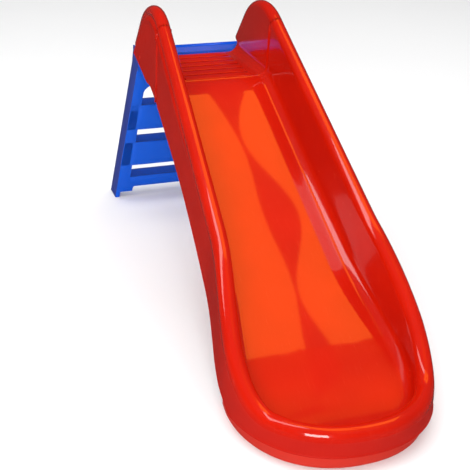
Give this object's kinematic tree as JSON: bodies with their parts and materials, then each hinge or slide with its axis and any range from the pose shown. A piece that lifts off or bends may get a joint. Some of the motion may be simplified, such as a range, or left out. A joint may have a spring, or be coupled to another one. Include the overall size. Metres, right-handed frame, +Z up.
{
  "type": "folding toddler slide",
  "caption": "Toddler slide with a ribbed platform between raised wings, a straight bed with a rolled rim, a rounded exit on a base and a folding moulded ladder.",
  "frame": {"origin": "middle of the footprint, on the floor", "axes": "+Z up, -Y towards the exit, +Y towards the ladder, X across the slide"},
  "size_m": [0.42, 1.2986, 0.6131],
  "materials": {
    "slide_red": "glossy moulded polypropylene",
    "base_red": "satin moulded polypropylene",
    "ladder_blue": "satin-gloss moulded polypropylene",
    "fitting_grey": "plain nylon"
  },
  "bodies": {
    "slide": {"slide_body": "slide_red", "exit_base": "base_red", "hinge_pin_left": "slide_red", "hinge_pin_right": "slide_red", "hinge_washer_left": "fitting_grey", "hinge_washer_right": "fitting_grey", "hinge_cap_left": "fitting_grey", "hinge_cap_right": "fitting_grey"},
    "ladder": {"ladder": "ladder_blue"}
  },
  "joints": [
    {"name": "ladder_fold", "type": "hinge", "parent": "slide", "child": "ladder", "pos_m": [0, 0.40772, 0.466], "axis": [-1, 0, 0], "range_deg": [0, 85]}
  ]
}
